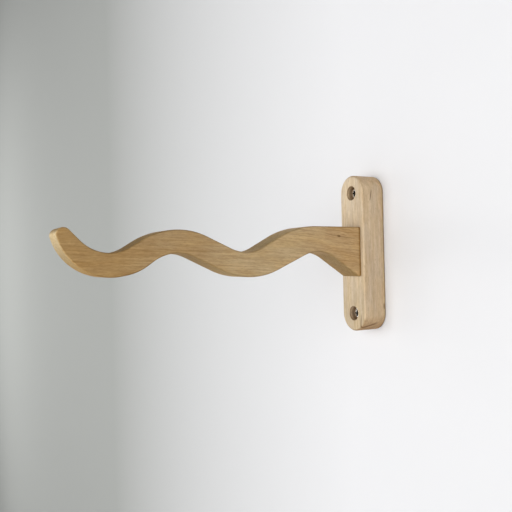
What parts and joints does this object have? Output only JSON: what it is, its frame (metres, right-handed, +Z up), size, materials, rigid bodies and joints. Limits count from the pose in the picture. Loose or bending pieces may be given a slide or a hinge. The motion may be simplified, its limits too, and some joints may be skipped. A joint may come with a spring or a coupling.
{
  "type": "wall guitar hanger",
  "caption": "Wooden wall hanger: a long waved arm with an upturned tip on a round-ended wall plate with counterbored screws.",
  "frame": {"origin": "centre of the wall plate's back face, which lies on the wall", "axes": "+Z up, +Y into the wall, so the arm reaches out along -Y; X is the plate's width"},
  "size_m": [0.026, 0.2813, 0.115],
  "materials": {
    "plate_wood": "pale hardwood, planed and sanded, thin matt oil",
    "arm_wood": "golden hardwood, sanded side faces, thin matt oil",
    "dowel_wood": "plain beech dowel",
    "yellow_zinc_steel": "yellow zinc plated",
    "bright_steel": "bright zinc plated",
    "plug_nylon": "moulded grey nylon"
  },
  "bodies": {
    "root": {"wall_plate": "plate_wood", "arm": "arm_wood", "arm_dowel": "dowel_wood", "arm_screw_upper": "yellow_zinc_steel", "arm_screw_lower": "yellow_zinc_steel", "wall_screw_upper": "bright_steel", "wall_screw_lower": "bright_steel", "wall_plug_upper": "plug_nylon", "wall_plug_lower": "plug_nylon"}
  },
  "joints": []
}
